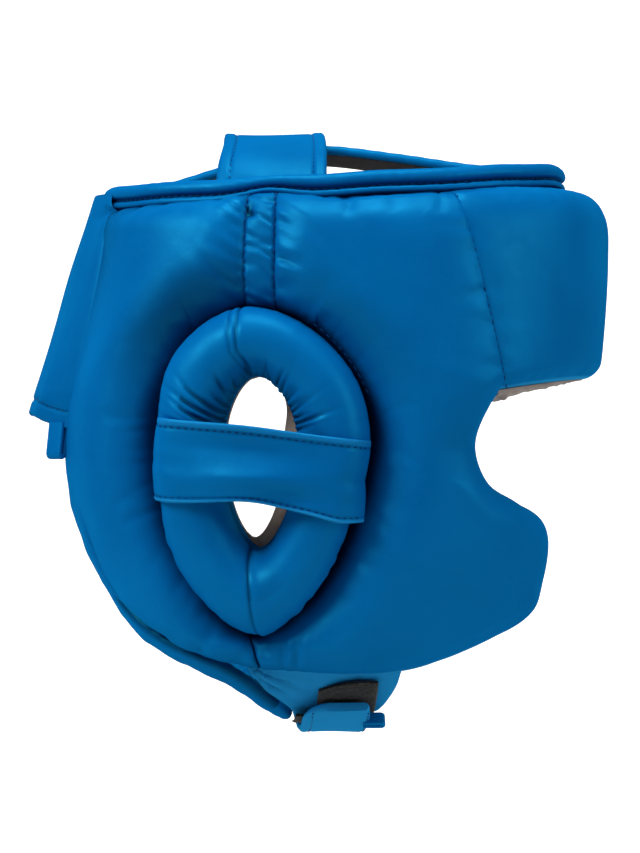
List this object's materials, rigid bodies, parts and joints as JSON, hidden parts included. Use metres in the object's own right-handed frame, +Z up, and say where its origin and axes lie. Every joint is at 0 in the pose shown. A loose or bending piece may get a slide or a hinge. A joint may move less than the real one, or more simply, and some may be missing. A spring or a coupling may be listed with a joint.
{
  "type": "padded head guard",
  "caption": "Padded boxing head guard with cheek and ear pads, an open crown with crossed straps, a back flap and a chin strap closed with hook and loop.",
  "frame": {"origin": "the crown of the wearer's head, on the middle plane, just under the crown straps where the guard sits", "axes": "+X to the wearer's front, +Y to the wearer's left, +Z up"},
  "size_m": [0.2514, 0.2166, 0.2571],
  "materials": {
    "leather": "smooth blue synthetic leather, soft sheen",
    "lining": "matt grey-brown lining",
    "hook_and_loop": "matt black pile"
  },
  "bodies": {
    "root": {"forehead_pad": "leather", "forehead_lining": "lining", "side_pad_right": "leather", "side_pad_left": "leather", "rear_pad_right": "leather", "rear_pad_left": "leather", "temple_gusset_right": "leather", "temple_gusset_left": "leather", "ear_pad_right": "leather", "ear_pad_left": "leather", "ear_strap_right": "leather", "ear_strap_left": "leather", "side_lining_right": "lining", "side_lining_left": "lining", "crown_rim": "leather", "crown_strap_long": "leather", "crown_strap_cross": "leather", "back_flap": "leather", "back_pull_tab": "leather", "neck_binding_right": "leather", "neck_binding_left": "leather", "chin_strap_right": "leather", "chin_strap_left": "leather", "chin_loop_patch": "hook_and_loop", "chin_hook_patch": "hook_and_loop", "chin_pull_tab": "leather"}
  },
  "joints": []
}
